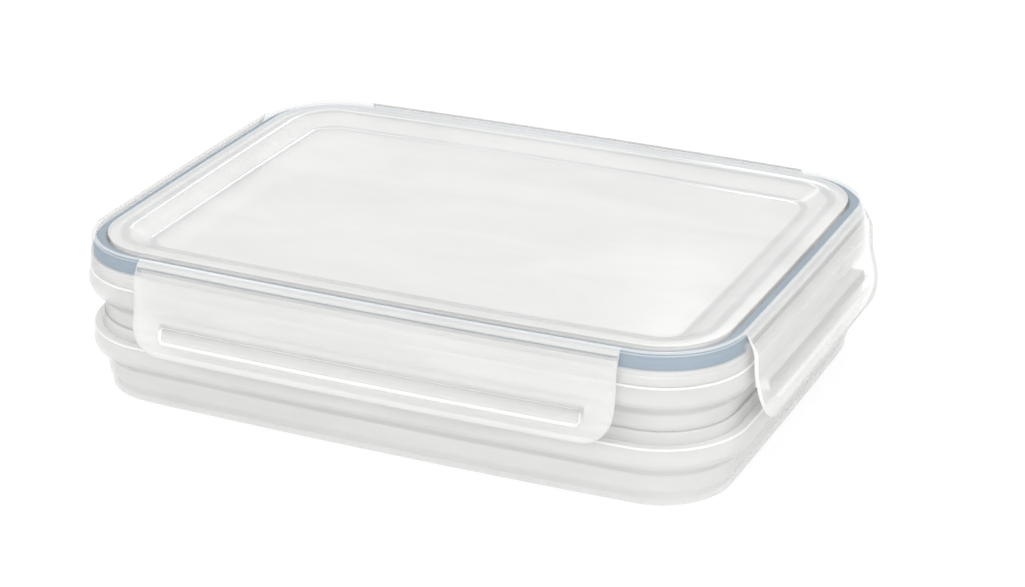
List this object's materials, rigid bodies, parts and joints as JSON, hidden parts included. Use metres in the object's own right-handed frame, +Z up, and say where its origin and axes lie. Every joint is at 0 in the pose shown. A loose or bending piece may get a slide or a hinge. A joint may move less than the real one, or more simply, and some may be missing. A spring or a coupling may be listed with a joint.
{
  "type": "food storage container",
  "caption": "Flat rectangular food storage container: nested shallow trays under a recessed lid with a seal ring and long hinged snap latches that hook below the rim.",
  "frame": {"origin": "middle of the footprint, on the surface the container stands on", "axes": "+X along the long side to the right, +Y along the short side to the back, +Z up"},
  "size_m": [0.2772, 0.2066, 0.0604],
  "materials": {
    "polypropylene": "satin",
    "silicone": "matte"
  },
  "bodies": {
    "container": {"lower_tray": "polypropylene", "upper_tray": "polypropylene", "lid": "polypropylene", "gasket": "silicone"},
    "front": {"latch_front": "polypropylene"},
    "back": {"latch_back": "polypropylene"},
    "left": {"latch_left": "polypropylene"},
    "right": {"latch_right": "polypropylene"}
  },
  "joints": [
    {"name": "front_latch_hinge", "type": "hinge", "parent": "container", "child": "front", "pos_m": [0, -0.0953, 0.05968], "axis": [-1, 0, 0], "range_deg": [0, 130]},
    {"name": "back_latch_hinge", "type": "hinge", "parent": "container", "child": "back", "pos_m": [0, 0.0953, 0.05968], "axis": [1, 0, 0], "range_deg": [0, 130]},
    {"name": "left_latch_hinge", "type": "hinge", "parent": "container", "child": "left", "pos_m": [-0.1306, 0, 0.05968], "axis": [0, 1, 0], "range_deg": [0, 130]},
    {"name": "right_latch_hinge", "type": "hinge", "parent": "container", "child": "right", "pos_m": [0.1306, 0, 0.05968], "axis": [0, -1, 0], "range_deg": [0, 130]}
  ]
}
